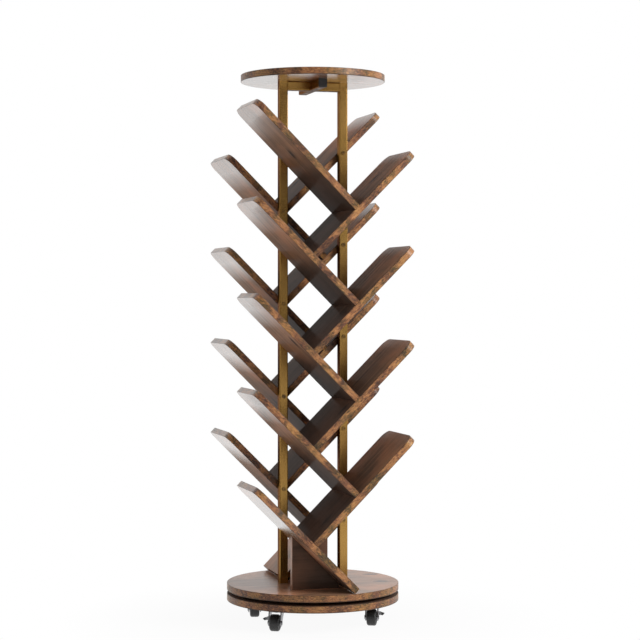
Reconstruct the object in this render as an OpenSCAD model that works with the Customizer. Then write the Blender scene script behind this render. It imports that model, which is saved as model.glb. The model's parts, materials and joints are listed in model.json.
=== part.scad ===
// Revolving bookcase. Two stacks of sloping shelves stand back to back on a steel
// frame. The frame stands on a round deck that turns on a ball bearing above a
// round base, and the base rolls on four swivel casters, two of them with brakes.
// Sizes are in millimetres. +Z is up, the front stack faces -Y, and the origin is
// on the floor below the turning axis.

/* [Discs] */
// Diameter of the base disc
base_d = 400; // [380:5:440]
// Thickness of the base disc
base_t = 16; // [14:1:20]
// Diameter of the turning deck
deck_d = 400; // [380:5:440]
// Thickness of the turning deck
deck_t = 16; // [14:1:20]
// Diameter of the top disc
top_d = 336; // [300:4:380]
// Thickness of the top disc
top_t = 16; // [14:1:20]

/* [Shelves] */
// Length of a shelf along its slope
shelf_l = 329; // [310:1:350]
// Depth of a shelf, from the frame to its outer edge
shelf_w = 186; // [170:1:195]
// Thickness of a shelf
shelf_t = 15; // [13:1:18]
// Height from one shelf to the next with the same slope
shelf_pitch = 215; // [205:1:230]
// Radius of the two corners at the free end of a shelf
shelf_corner_r = 24; // [5:1:60]
// Sideways offset of the rear stack from the turning axis
rear_shift = 15.5; // [0:0.5:20]

/* [Frame] */
// Outside width of the square frame tube
tube_w = 20; // [17:0.5:22]
// Wall thickness of the frame tube
tube_wall = 1.5; // [1:0.1:2.5]
// Outside corner radius of the frame tube
tube_corner_r = 2; // [0.5:0.1:3]
// Distance between the two uprights, centre to centre
upright_spacing = 144.7; // [136:0.1:160]
// Clear height from the highest shelf end to the top disc
head_room = 61.5; // [40:0.5:90]
// Distance from the turning axis to the end of each top arm
arm_reach = 86; // [65:1:100]
// Distance from the middle of a stack to the upright edge of its support panel
panel_reach = 80; // [70:1:95]
// Thickness of a support panel
panel_t = 15; // [13:1:18]

/* [Fasteners] */
// Shank diameter of the bolts that hold the shelves
bolt_d = 5; // [4:0.5:6]
// Head diameter of the shelf bolts
bolt_head_d = 9; // [8:0.5:11]
// Depth of a shelf bolt in the shelf edge
bolt_in = 31; // [20:1:45]
// Diameter of the wooden dowels
dowel_d = 8; // [6:1:8]
// Distance from a shelf edge to the nearest dowel
dowel_inset = 40; // [25:1:60]
// Shank diameter of the wood screws
screw_d = 4; // [3.5:0.5:5]

/* [Turntable] */
// Height of the bearing between the base and the deck
bearing_h = 8; // [8:0.5:12]
// Outside diameter of the bearing
bearing_d = 300; // [280:2:340]
// Number of bearing balls
ball_count = 24; // [12:4:36]

/* [Casters] */
// Diameter of a caster wheel
wheel_d = 38; // [34:1:45]
// Width of a caster wheel
wheel_w = 22; // [18:1:26]
// Radius of the tread shoulders
tread_r = 5; // [2:0.5:6]
// Distance from the swivel axis to the axle, measured level
trail = 16; // [13:1:19]
// Clear height between the wheel and the crown of its fork
crown_gap = 4; // [3:0.5:8]
// Diameter of the axle
axle_d = 6; // [5:0.5:7]
// Side length of a mounting plate
plate_w = 40; // [38:1:46]
// Distance between the left and right swivel axes
caster_x = 230; // [200:1:250]
// Distance between the front and rear swivel axes
caster_y = 188; // [170:1:220]
// Turn of the base and its four casters
pattern_turn = 1.6; // [-45:0.1:45]
// Rest direction of the front left caster
turn_1 = 152; // [-180:1:180]
// Rest direction of the front right caster
turn_2 = 156; // [-180:1:180]
// Rest direction of the rear right caster
turn_3 = 162; // [-180:1:180]
// Rest direction of the rear left caster
turn_4 = 168; // [-180:1:180]
// Length of a brake pedal from its hinge
pedal_l = 9.5; // [8:0.5:14]
// Width of a brake pedal
pedal_w = 14; // [10:1:18]

/* [Hidden] */
$fn = 96;
wood = [0.34, 0.21, 0.12];
gold = [0.45, 0.34, 0.14];
steel = [0.72, 0.72, 0.70];
black = [0.05, 0.05, 0.05];
beech = [0.80, 0.66, 0.46];

// Fits
loose = 0.1;
running = 0.05;
end_gap = 0.5;
over = 1;

// Caster heights, from the floor upwards
axle_z = wheel_d / 2;
plate_t = 2.5;
race_h = 3;
crown_t = 2.5;
crown_z = wheel_d + crown_gap;
race_z = crown_z + crown_t;
plate_z = race_z + race_h;
base_z = plate_z + plate_t;

// Heights of the turntable and the frame
base_top = base_z + base_t;
deck_z = base_top + bearing_h;
deck_top = deck_z + deck_t;
slope = 45;
root2 = sqrt(2);
last = 8;
step_z = shelf_pitch / 2;
corner_x = shelf_pitch / 4;
upright_l = last * step_z + (shelf_t + shelf_l) / root2 + head_room;
disc_z = deck_top + upright_l;
bar_z = disc_z - tube_w / 2;
upright_x = upright_spacing / 2;
stack_y = tube_w / 2;
tube_in = tube_w - 2 * tube_wall;
foot_x = corner_x - shelf_t / root2;

// Shelf joints
butt_u = shelf_pitch / root2 - shelf_t / 2;
dowel_in_face = 9;
dowel_in_end = 21;
dowel_in_panel = 20;
dowel_in_deck = 9;
panel_blunt = 12;
panel_u = (foot_x + panel_reach) * root2;
panel_dowel_u = [0.34 * panel_u, 0.8 * panel_u];
foot_dowel_inset = 38;
foot_dowel_x = [-0.75 * panel_reach, foot_x - foot_dowel_inset];
bolt_head_h = 2.5;
bolt_hex_d = 3.4;
bolt_hex_h = 1.4;

// Screws
screw_head_d = 2 * screw_d;
screw_head_h = 2.2;
screw_in = 11;
foot_screw_d = 6;
foot_plug_h = 22;
foot_screw_in = 16;
bar_screw_x = upright_spacing * 0.25;
arm_screw_y = arm_reach * 0.62;
cap_t = 2;
cap_in = 12;

// Bearing section
ring_t = 2;
ring_wall = 2;
ring_r = bearing_d / 2;
lip_t = 1.2;
lip_w = 6;
lip_z = 5.2;
flange_z = 3.4;
flange_gap = 3;
ring_w = 32;
upper_inset = 8.5;
upper_r = ring_r - upper_inset;
upper_w = 29.5;
ball_inset = 22;
ball_r = ring_r - ball_inset;
ball_z = bearing_h / 2;
ball_sink = 0.2;
ball_d = bearing_h - 2 * (ring_t - ball_sink);
groove_gap = 0.3;
groove_r = ball_d / 2 + groove_gap;
ring_screw_d = 3;
ring_screw_head_d = 5.4;
ring_screw_head_h = 1.4;
ring_screw_in = 10;
lower_screw_inset = 28.2;
lower_screw_r = ring_r - lower_screw_inset;
upper_screw_inset = 25.5;
upper_screw_r = upper_r - upper_screw_inset;
ring_screw_count = 4;

// Caster fork, pin and plate
leg_t = 2.5;
leg_gap = 1.5;
leg_in = wheel_w / 2 + leg_gap;
leg_out = leg_in + leg_t;
leg_end_r = 8;
crown_front = 11;
crown_back = 16;
race_r = 12;
race_gap = 0.3;
pin_d = 8;
pin_head_d = 13;
pin_head_h = 2;
pin_gap = 0.2;
plate_screw_inset = 5;
plate_screw = plate_w / 2 - plate_screw_inset;
plate_fit = 0.15;
axle_head_d = 9;
axle_head_h = 1.8;
turns = [turn_1, turn_2, turn_3, turn_4];

// Brake on the fork leg
lug_reach = 4;
hinge_ahead = 5.5;
hinge_rise = 8.5;
hinge_x = leg_out + lug_reach;
hinge_y = trail - hinge_ahead;
hinge_z = axle_z + hinge_rise;
barrel_r = 2.6;
barrel_l = 8;
trunnion_r = 1.5;
lug_t = 2;
lug_gap = 0.3;
lug_r = 3.2;
nose_gap = 0.4;
nose_l = lug_reach + leg_t + leg_gap - nose_gap;
nose_t = 2.4;
nose_w = 4;
nose_turn = 30;
window_w = nose_w + 1;
window_low = 6;
window_high = 1.6;
neck_l = 4.4;
neck_top = 1.6;
neck_low = -4;
pedal_drop = 0.2;
pedal_tip_t = 1;

// Height of the upper corner at the square end of shelf i, counted from the top
function corner_z(i) = deck_top + shelf_t / root2 + (last - i) * step_z;

// Distance along a shelf to the bolt, for an upright this far from the stack's centre
function bolt_u(side) = (corner_x + side) * root2 - shelf_t / 2;

// Height of the bolt of shelf i
function bolt_z(i, side) = corner_z(i) + corner_x + side - shelf_t / root2;

// Distance from the centre of the rear stack to the upright that shelf i crosses
function rear_side(i) = upright_x + (i % 2 == 0 ? rear_shift : -rear_shift);

// Heights of all bolts in each upright
left_bolts = concat([for (i = [0:2:last]) bolt_z(i, upright_x)],
                    [for (i = [1:2:last]) bolt_z(i, rear_side(i))]);
right_bolts = concat([for (i = [1:2:last]) bolt_z(i, upright_x)],
                     [for (i = [0:2:last]) bolt_z(i, rear_side(i))]);

// Countersunk screw or its hole, with the flat of the head at the origin, along +Z
module sunk_screw(d, l, head_d, head_h) {
    cylinder(d1 = head_d, d2 = d, h = head_h);
    cylinder(d = d, h = l);
}

// Round-headed screw, with the underside of the head at the origin, along +Z
module round_screw(d, l, head_d, head_h) {
    translate([0, 0, -head_h]) cylinder(d = head_d, h = head_h);
    cylinder(d = d, h = l);
}

// Square with rounded corners, centred
module soft_square(w, r) {
    square([w, w - 2 * r], center = true);
    square([w - 2 * r, w], center = true);
    for (x = [-1, 1], y = [-1, 1]) {
        translate([x * (w / 2 - r), y * (w / 2 - r)]) circle(r);
    }
}

// Square frame tube along +Z
module tube(l) {
    linear_extrude(l) difference() {
        soft_square(tube_w, tube_corner_r);
        square(tube_in, center = true);
    }
}

// Puts a shelf in the front stack. Even shelves fall to the right, odd ones rise.
module place_front(i) {
    if (i % 2 == 0) {
        translate([corner_x, -stack_y - shelf_w, corner_z(i)])
            mirror([1, 0, 0]) rotate([0, -slope, 0]) children();
    } else {
        translate([-corner_x, -stack_y - shelf_w, corner_z(i)])
            rotate([0, -slope, 0]) children();
    }
}

// Turns a piece of the front stack into the rear stack
module to_rear() {
    translate([-rear_shift, 0, 0]) rotate(180) children();
}

// Outline of a shelf, square at the low end and rounded at the free end
module shelf_outline() {
    square([shelf_l - shelf_corner_r, shelf_w]);
    translate([0, shelf_corner_r]) square([shelf_l, shelf_w - 2 * shelf_corner_r]);
    for (y = [shelf_corner_r, shelf_w - shelf_corner_r]) {
        translate([shelf_l - shelf_corner_r, y]) circle(shelf_corner_r);
    }
}

// Dowels in the square end of a shelf, or their holes
module end_dowels(d, gap) {
    for (y = [dowel_inset, shelf_w - dowel_inset]) {
        translate([-dowel_in_face - gap, y, -shelf_t / 2]) rotate([0, 90, 0])
            cylinder(d = d, h = dowel_in_face + dowel_in_end + 2 * gap);
    }
}

// Dowels from the underside of the lowest shelf into its support panel, or their holes
module panel_dowels(d, gap) {
    for (u = panel_dowel_u) {
        translate([u, shelf_w / 2, -shelf_t - dowel_in_panel - gap])
            cylinder(d = d, h = dowel_in_panel + dowel_in_face + 2 * gap);
    }
}

// Dowels from the deck into the support panel of the front stack, or their holes
module foot_dowels(d, gap) {
    for (x = foot_dowel_x) {
        translate([x, -stack_y - shelf_w / 2, deck_top - dowel_in_deck - gap])
            cylinder(d = d, h = dowel_in_deck + dowel_in_panel + 2 * gap);
    }
}

// One shelf lying flat with its holes, the top face at z = 0
module shelf(i, side) {
    hole_d = dowel_d + 2 * loose;
    color(wood) difference() {
        translate([0, 0, -shelf_t]) linear_extrude(shelf_t) shelf_outline();
        if (i < last) {
            end_dowels(hole_d, end_gap);
        } else {
            panel_dowels(hole_d, end_gap);
        }
        if (i > 0) {
            for (y = [dowel_inset, shelf_w - dowel_inset]) {
                translate([butt_u, y, -dowel_in_face - end_gap])
                    cylinder(d = hole_d, h = dowel_in_face + end_gap + over);
            }
        }
        translate([bolt_u(side), shelf_w + over, -shelf_t / 2]) rotate([90, 0, 0])
            cylinder(d = bolt_d + 2 * loose, h = bolt_in + end_gap + over);
    }
}

module front_shelf(i) {
    place_front(i) shelf(i, upright_x);
}

module rear_shelf(i) {
    to_rear() place_front(i) shelf(i, rear_side(i));
}

// Bolt along -Y with a hexagon socket, the head resting on the plane y = 0
module bolt() {
    rotate([90, 0, 0]) difference() {
        round_screw(bolt_d, tube_w + bolt_in, bolt_head_d, bolt_head_h);
        translate([0, 0, -bolt_head_h - over])
            cylinder(d = bolt_hex_d, h = bolt_hex_h + over, $fn = 6);
    }
}

module frame_bolts() {
    color(steel) for (i = [0:last]) {
        sign_x = i % 2 == 0 ? -1 : 1;
        translate([sign_x * upright_x, stack_y, bolt_z(i, upright_x)]) bolt();
        to_rear() translate([sign_x * rear_side(i), stack_y, bolt_z(i, rear_side(i))]) bolt();
    }
}

module shelf_dowels() {
    color(beech) {
        for (i = [0:last - 1]) {
            place_front(i) end_dowels(dowel_d, 0);
            to_rear() place_front(i) end_dowels(dowel_d, 0);
        }
        place_front(last) panel_dowels(dowel_d, 0);
        to_rear() place_front(last) panel_dowels(dowel_d, 0);
        foot_dowels(dowel_d, 0);
        to_rear() foot_dowels(dowel_d, 0);
    }
}

module upright(x, bolts) {
    color(gold) difference() {
        translate([x, 0, deck_top]) tube(upright_l);
        for (z = bolts) {
            translate([x, tube_w, z]) rotate([90, 0, 0])
                cylinder(d = bolt_d + 2 * loose, h = 2 * tube_w);
        }
    }
}

// Steel blocks in the feet of the uprights, drilled for the foot screws
module upright_plugs() {
    plug_w = tube_in - 2 * loose;
    color(steel) for (x = [-upright_x, upright_x]) {
        translate([x, 0, deck_top]) difference() {
            translate([-plug_w / 2, -plug_w / 2, 0]) cube([plug_w, plug_w, foot_plug_h]);
            translate([0, 0, -over])
                cylinder(d = foot_screw_d + 2 * loose, h = foot_screw_in + end_gap + over);
        }
    }
}

module upright_screws() {
    color(steel) for (x = [-upright_x, upright_x]) {
        translate([x, 0, deck_z])
            sunk_screw(foot_screw_d, deck_t + foot_screw_in, 2 * foot_screw_d, foot_screw_d / 2);
    }
}

// Positions of the screws below the top disc
module at_top_screws() {
    for (x = [-bar_screw_x, bar_screw_x]) translate([x, 0, disc_z - tube_w]) children();
    for (y = [-arm_screw_y, arm_screw_y]) translate([0, y, disc_z - tube_w]) children();
}

module top_screw_holes() {
    at_top_screws()
        sunk_screw(screw_d + 2 * loose, tube_w + screw_in + end_gap,
                   2 * (screw_d + loose), screw_d / 2);
}

module top_disc_screws() {
    color(steel) at_top_screws()
        sunk_screw(screw_d, tube_w + screw_in, 2 * screw_d, screw_d / 2);
}

module crossbar() {
    bar_l = upright_spacing - tube_w;
    color(gold) difference() {
        translate([-bar_l / 2, 0, bar_z]) rotate([0, 90, 0]) tube(bar_l);
        top_screw_holes();
    }
}

module arm() {
    color(gold) difference() {
        translate([0, -stack_y, bar_z]) rotate([90, 0, 0])
            tube(arm_reach - cap_t - stack_y);
        top_screw_holes();
    }
}

module arm_cap() {
    plug_w = tube_in - 2 * loose;
    color(black) translate([0, -arm_reach, bar_z]) rotate([-90, 0, 0]) {
        linear_extrude(cap_t) soft_square(tube_w, tube_corner_r);
        linear_extrude(cap_t + cap_in) square(plug_w, center = true);
    }
}

module arm_caps() {
    arm_cap();
    rotate(180) arm_cap();
}

module top_disc() {
    color(wood) difference() {
        translate([0, 0, disc_z]) cylinder(d = top_d, h = top_t);
        top_screw_holes();
    }
}

// Panel that stands on the deck below the middle of the lowest front shelf, cut to its slope
module support_panel() {
    hole_d = dowel_d + 2 * loose;
    color(wood) difference() {
        translate([0, -stack_y - (shelf_w - panel_t) / 2, deck_top]) rotate([90, 0, 0])
            linear_extrude(panel_t)
            polygon([[-panel_reach, 0], [foot_x - panel_blunt, 0],
                     [foot_x - panel_blunt, panel_blunt], [-panel_reach, foot_x + panel_reach]]);
        place_front(last) panel_dowels(hole_d, end_gap);
        foot_dowels(hole_d, end_gap);
    }
}

// Positions of one circle of bearing screws
module at_ring(r, count) {
    for (i = [0:count - 1]) rotate(45 + i * 360 / count) translate([r, 0]) children();
}

// Bearing screw or, with a fit and some depth to spare, its hole
module ring_screw(fit, spare) {
    sunk_screw(ring_screw_d + 2 * fit, ring_t + ring_screw_in + spare,
               ring_screw_head_d + 2 * fit, ring_screw_head_h);
}

module deck() {
    color(wood) difference() {
        translate([0, 0, deck_z]) cylinder(d = deck_d, h = deck_t);
        for (x = [-upright_x, upright_x]) {
            translate([x, 0, deck_z])
                sunk_screw(foot_screw_d + 2 * loose, deck_t + over,
                           2 * (foot_screw_d + loose), foot_screw_d / 2);
        }
        foot_dowels(dowel_d + 2 * loose, end_gap);
        to_rear() foot_dowels(dowel_d + 2 * loose, end_gap);
        translate([0, 0, deck_z - ring_t]) at_ring(upper_screw_r, ring_screw_count)
            ring_screw(loose, end_gap);
    }
}

// Ring groove for the bearing balls
module ball_groove() {
    translate([0, 0, base_top + ball_z]) rotate_extrude() translate([ball_r, 0]) circle(groove_r);
}

module bearing_lower() {
    color(steel) difference() {
        translate([0, 0, base_top]) rotate_extrude() {
            translate([ring_r - ring_w, 0]) square([ring_w, ring_t]);
            translate([ring_r - ring_wall, 0]) square([ring_wall, lip_z + lip_t]);
            translate([ring_r - lip_w, lip_z]) square([lip_w, lip_t]);
        }
        ball_groove();
        translate([0, 0, base_top + ring_t]) mirror([0, 0, 1])
            at_ring(lower_screw_r, ring_screw_count) ring_screw(loose, end_gap);
    }
}

module bearing_lower_screws() {
    color(steel) translate([0, 0, base_top + ring_t]) mirror([0, 0, 1])
        at_ring(lower_screw_r, ring_screw_count) ring_screw(0, 0);
}

module bearing_upper() {
    color(steel) difference() {
        translate([0, 0, base_top]) rotate_extrude() {
            translate([upper_r - upper_w, bearing_h - ring_t]) square([upper_w, ring_t]);
            translate([upper_r - ring_wall, flange_z]) square([ring_wall, bearing_h - flange_z]);
            translate([upper_r - ring_wall, flange_z])
                square([ring_r - flange_gap - upper_r + ring_wall, lip_t]);
        }
        ball_groove();
        translate([0, 0, deck_z - ring_t]) at_ring(upper_screw_r, ring_screw_count)
            ring_screw(loose, end_gap);
    }
}

module bearing_upper_screws() {
    color(steel) translate([0, 0, deck_z - ring_t])
        at_ring(upper_screw_r, ring_screw_count) ring_screw(0, 0);
}

module bearing_balls() {
    color(steel) translate([0, 0, base_top + ball_z])
        at_ring(ball_r, ball_count) sphere(d = ball_d);
}

// Puts a piece on the swivel axis of caster i
module at_caster(i) {
    side_x = i == 2 || i == 3 ? 1 : -1;
    side_y = i > 2 ? 1 : -1;
    rotate(pattern_turn) translate([side_x * caster_x / 2, side_y * caster_y / 2]) children();
}

// Puts a piece on the swivel axis of caster i, turned to its rest direction
module at_fork(i) {
    at_caster(i) rotate(turns[i - 1] - pattern_turn) children();
}

// Positions of the four screws of a mounting plate
module at_plate_screws() {
    for (x = [-plate_screw, plate_screw], y = [-plate_screw, plate_screw]) {
        translate([x, y, plate_z]) children();
    }
}

module base_disc() {
    color(wood) difference() {
        translate([0, 0, base_z]) cylinder(d = base_d, h = base_t);
        translate([0, 0, base_top + ring_t]) mirror([0, 0, 1])
            at_ring(lower_screw_r, ring_screw_count) ring_screw(loose, end_gap);
        for (i = [1:4]) {
            at_caster(i) at_plate_screws()
                cylinder(d = screw_d + 2 * loose, h = plate_t + screw_in + end_gap);
        }
    }
}

module caster_plates() {
    color(steel) for (i = [1:4]) {
        at_caster(i) difference() {
            translate([-plate_w / 2, -plate_w / 2, plate_z]) cube([plate_w, plate_w, plate_t]);
            at_plate_screws() translate([0, 0, -over])
                cylinder(d = screw_d + 2 * plate_fit, h = plate_t + 2 * over);
            translate([0, 0, plate_z - over])
                cylinder(d = pin_d + 2 * running, h = plate_t + 2 * over);
        }
    }
}

module caster_plate_screws() {
    color(steel) for (i = [1:4]) {
        at_caster(i) at_plate_screws()
            round_screw(screw_d, plate_t + screw_in, screw_head_d, screw_head_h);
    }
}

// Rivets on which the forks swivel
module caster_pins() {
    pin_z = crown_z - pin_gap;
    color(steel) for (i = [1:4]) {
        at_caster(i) translate([0, 0, pin_z])
            round_screw(pin_d, base_z - pin_z, pin_head_d, pin_head_h);
    }
}

// Side outline of a fork leg, drawn with the rolling direction along x
module leg_outline() {
    polygon([[-crown_front, race_z], [crown_back, race_z],
             [trail + leg_end_r, axle_z], [trail - leg_end_r, axle_z]]);
    translate([trail, axle_z]) circle(leg_end_r);
}

// Lug that carries one end of the brake hinge
module lug() {
    rotate([90, 0, 0]) linear_extrude(lug_t, center = true) difference() {
        union() {
            circle(lug_r);
            translate([leg_out - leg_t / 2 - hinge_x, -lug_r])
                square([hinge_x - leg_out + leg_t / 2, 2 * lug_r]);
        }
        circle(trunnion_r + running);
    }
}

// Fork with its axle behind the swivel axis. brake is 0, or the side of the lugs.
module fork(i, brake) {
    color(steel) at_fork(i) difference() {
        union() {
            for (x = [-leg_out, leg_in]) {
                translate([x, 0, 0]) rotate([90, 0, 90]) linear_extrude(leg_t) leg_outline();
            }
            translate([-leg_out, -crown_front, crown_z])
                cube([2 * leg_out, crown_front + crown_back, crown_t]);
            translate([0, 0, crown_z]) cylinder(r = race_r, h = crown_t + race_h - race_gap);
            if (brake != 0) {
                for (y = [-1, 1]) {
                    translate([0, hinge_y + y * (barrel_l / 2 + lug_gap + lug_t / 2), hinge_z])
                        mirror([brake < 0 ? 1 : 0, 0, 0]) translate([hinge_x, 0, 0]) lug();
                }
            }
        }
        translate([0, 0, crown_z - over])
            cylinder(d = pin_d + 2 * running, h = crown_t + race_h + 2 * over);
        translate([-leg_out - over, trail, axle_z]) rotate([0, 90, 0])
            cylinder(d = axle_d + 2 * running, h = 2 * (leg_out + over));
        if (brake != 0) {
            mirror([brake < 0 ? 1 : 0, 0, 0])
                translate([leg_in - over, hinge_y - window_w / 2, hinge_z - window_low])
                cube([leg_t + 2 * over, window_w, window_low + window_high]);
        }
    }
}

module axle(i) {
    color(steel) at_fork(i) translate([0, trail, axle_z]) rotate([0, 90, 0]) {
        translate([0, 0, -leg_out]) cylinder(d = axle_d, h = 2 * leg_out);
        for (z = [-leg_out - axle_head_h, leg_out]) {
            translate([0, 0, z]) cylinder(d = axle_head_d, h = axle_head_h);
        }
    }
}

// Wheel with rounded tread shoulders
module wheel(i) {
    bore_r = axle_d / 2 + running;
    rim_r = wheel_d / 2;
    flat = wheel_w - 2 * tread_r;
    color(black) at_fork(i) translate([0, trail, axle_z]) rotate([0, 90, 0]) rotate_extrude() {
        translate([bore_r, -wheel_w / 2]) square([rim_r - tread_r - bore_r, wheel_w]);
        translate([bore_r, -flat / 2]) square([rim_r - bore_r, flat]);
        for (y = [-flat / 2, flat / 2]) {
            translate([rim_r - tread_r, y]) circle(tread_r);
        }
    }
}

// Brake lever: a pedal outside the leg and a nose that reaches through it to the wheel
module brake(i, side) {
    color(black) at_fork(i) mirror([side < 0 ? 1 : 0, 0, 0])
        translate([hinge_x, hinge_y, hinge_z]) rotate([90, 0, 0]) {
            cylinder(r = barrel_r, h = barrel_l, center = true);
            cylinder(r = trunnion_r, h = barrel_l + 2 * (lug_gap + lug_t), center = true);
            linear_extrude(barrel_l, center = true)
                polygon([[0, barrel_r], [neck_l + over, neck_top],
                         [neck_l + over, neck_low], [0, -barrel_r]]);
            linear_extrude(pedal_w, center = true)
                polygon([[neck_l, neck_top], [pedal_l, -pedal_drop],
                         [pedal_l - pedal_tip_t, -pedal_drop - pedal_tip_t], [neck_l, neck_low]]);
            rotate(180 + nose_turn) translate([0, -nose_t / 2, -nose_w / 2])
                cube([nose_l, nose_t, nose_w]);
        }
}

base_disc();
bearing_lower();
bearing_lower_screws();
caster_plates();
caster_plate_screws();
caster_pins();
bearing_balls();
bearing_upper();
bearing_upper_screws();
deck();
upright(-upright_x, left_bolts);  // upright_left
upright(upright_x, right_bolts);  // upright_right
upright_plugs();
upright_screws();
crossbar();
arm();  // arm_front
rotate(180) arm();  // arm_rear
arm_caps();
top_disc();
top_disc_screws();
support_panel();  // panel_front
to_rear() support_panel();  // panel_rear
frame_bolts();
shelf_dowels();
for (i = [1:9]) {
    front_shelf(i - 1);
    rear_shelf(i - 1);
}
for (i = [1:4]) {
    fork(i, i == 1 ? 1 : i == 2 ? -1 : 0);
    axle(i);
    wheel(i);
}
brake(1, 1);  // brake_1
brake(2, -1);  // brake_2
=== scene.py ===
import json
import math

import bpy
import numpy as np
from bpy.props import FloatProperty, FloatVectorProperty, IntProperty, PointerProperty
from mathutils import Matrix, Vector


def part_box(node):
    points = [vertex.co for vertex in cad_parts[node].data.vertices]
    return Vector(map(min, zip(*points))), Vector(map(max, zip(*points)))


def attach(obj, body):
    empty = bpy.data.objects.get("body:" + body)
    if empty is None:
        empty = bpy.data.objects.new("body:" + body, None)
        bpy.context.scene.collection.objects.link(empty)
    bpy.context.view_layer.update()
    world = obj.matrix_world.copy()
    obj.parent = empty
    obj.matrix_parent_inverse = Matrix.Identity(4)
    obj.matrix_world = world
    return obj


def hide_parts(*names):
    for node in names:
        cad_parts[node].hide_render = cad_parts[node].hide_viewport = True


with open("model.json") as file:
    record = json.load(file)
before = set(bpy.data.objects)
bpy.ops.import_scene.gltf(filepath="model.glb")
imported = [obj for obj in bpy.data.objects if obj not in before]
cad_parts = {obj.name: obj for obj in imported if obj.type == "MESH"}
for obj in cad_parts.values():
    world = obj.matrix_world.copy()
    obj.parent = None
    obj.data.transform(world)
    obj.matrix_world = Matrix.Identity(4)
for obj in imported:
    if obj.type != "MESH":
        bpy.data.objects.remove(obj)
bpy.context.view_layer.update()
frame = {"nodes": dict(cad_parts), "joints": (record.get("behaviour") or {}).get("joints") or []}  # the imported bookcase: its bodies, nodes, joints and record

bl_info = {
    "name": "Revolving bookcase",
    "version": (1, 0, 0),
    "blender": (4, 5, 0),
    "location": "View3D > Sidebar > Bookcase",
    "description": "Boards, finishes and studio of a revolving bookcase",
    "category": "Object",
}

NODES = frame["nodes"]
JOINTS = {joint["name"]: joint for joint in frame["joints"]}
ROOT2 = math.sqrt(2)
WHITE = (1.0, 1.0, 1.0)

STACKS = ("front", "rear")
SHELF_NUMBERS = range(1, 10)
LOWEST = SHELF_NUMBERS[-1]
CASTER_NUMBERS = range(1, 5)
BRAKE_NUMBERS = (1, 2)

# A board's texture map in metres, and its attribute of gloss at each point, which also paints shade
# into the laminate: full colour where it is glossy, painted deep shade where it is dull
GRAIN_MAP = "grain"
GLOSS_AND_SHADE = "gloss"
# Lengths along the lowest shelf of a stack where its gloss starts and where it is full; before the
# first, it is painted in deep shade
LOWEST_GLOSS_AND_SHADE = {"front": (0.05, 0.17), "rear": (-1.0, 0.34)}
# Gloss of each disc; a gloss of 0 paints the base disc's faces in deep shade, in the gap under the
# deck
DISC_GLOSS_AND_SHADE = {"base_disc": 0.0, "deck": 0.83, "top_disc": 1.0}
# Steps in metres across the printed sheet, from one board of a kind to the next
SHELF_SHIFT = np.array([0.83, 0.57])
DISC_SHIFT = np.array([0.9, 7.7])
PANEL_SHIFT = np.array([7.1, 5.3])

# A fleck's length and width and its rise along the edge, the share of the broad patches, and the
# weight of the clear layer at a glossy end
EDGES = {
    "edge_band": {"fleck": (0.007, 0.0026), "slope": 0.12, "patches": 0.40, "ends": 0.9},
    "edge_rim": {"fleck": (0.006, 0.0022), "slope": 0.08, "patches": 0.30, "ends": 0.3},
}
# Places of an edge's four tints on its ramps, from dark to pale
EDGE_STOPS = (0.16, 0.40, 0.64, 0.94)

# A wheel's side from the ring inwards to the bore: radius as a share of the rim's, and depth as a
# share of the recess
WHEEL_SIDE = np.array([(0.68, 0.0), (0.65, 1.0), (0.40, 1.0),
                       (0.36, 0.0), (0.30, 0.0), (0.165, 0.0)])
SHOULDER_POINTS = 9
# Turn between two faces above which a wheel shows an edge
SHARP_ANGLE = math.radians(35)

# Side of the square picture, width of the camera's sensor, and how far it sees, in metres
IMAGE_PIXELS = 640
SENSOR_MM = 36.0
VIEW_DEPTH = 200.0
# Lines of the floor's grid each way
FLOOR_LINES = 5


# Settings

def colour(name, description, default):
    """A colour setting in linear light."""
    return FloatVectorProperty(name=name, description=description, default=default,
                               size=3, min=0.0, max=1.0, subtype="COLOR")


def length(name, description, default):
    """A length setting in metres."""
    return FloatProperty(name=name, description=description, default=default,
                         min=0.0, precision=4, unit="LENGTH")


def share(name, description, default):
    """A setting from 0 to 1."""
    return FloatProperty(name=name, description=description, default=default,
                         min=0.0, max=1.0, subtype="FACTOR")


def brightness(name, description, default):
    """A setting that multiplies colours; 1 leaves them as they are written."""
    return FloatProperty(name=name, description=description, default=default, min=0.0)


def power(name, description, default):
    """A lamp's power in watts."""
    return FloatProperty(name=name, description=description, default=default,
                         min=0.0, unit="POWER")


def pixel(name, description, default):
    """A column or a row of the picture."""
    return FloatProperty(name=name, description=description, default=default, subtype="PIXEL")


def location(name, description, default):
    """A point in metres."""
    return FloatVectorProperty(name=name, description=description, default=default,
                               size=3, subtype="TRANSLATION", unit="LENGTH")


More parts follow.
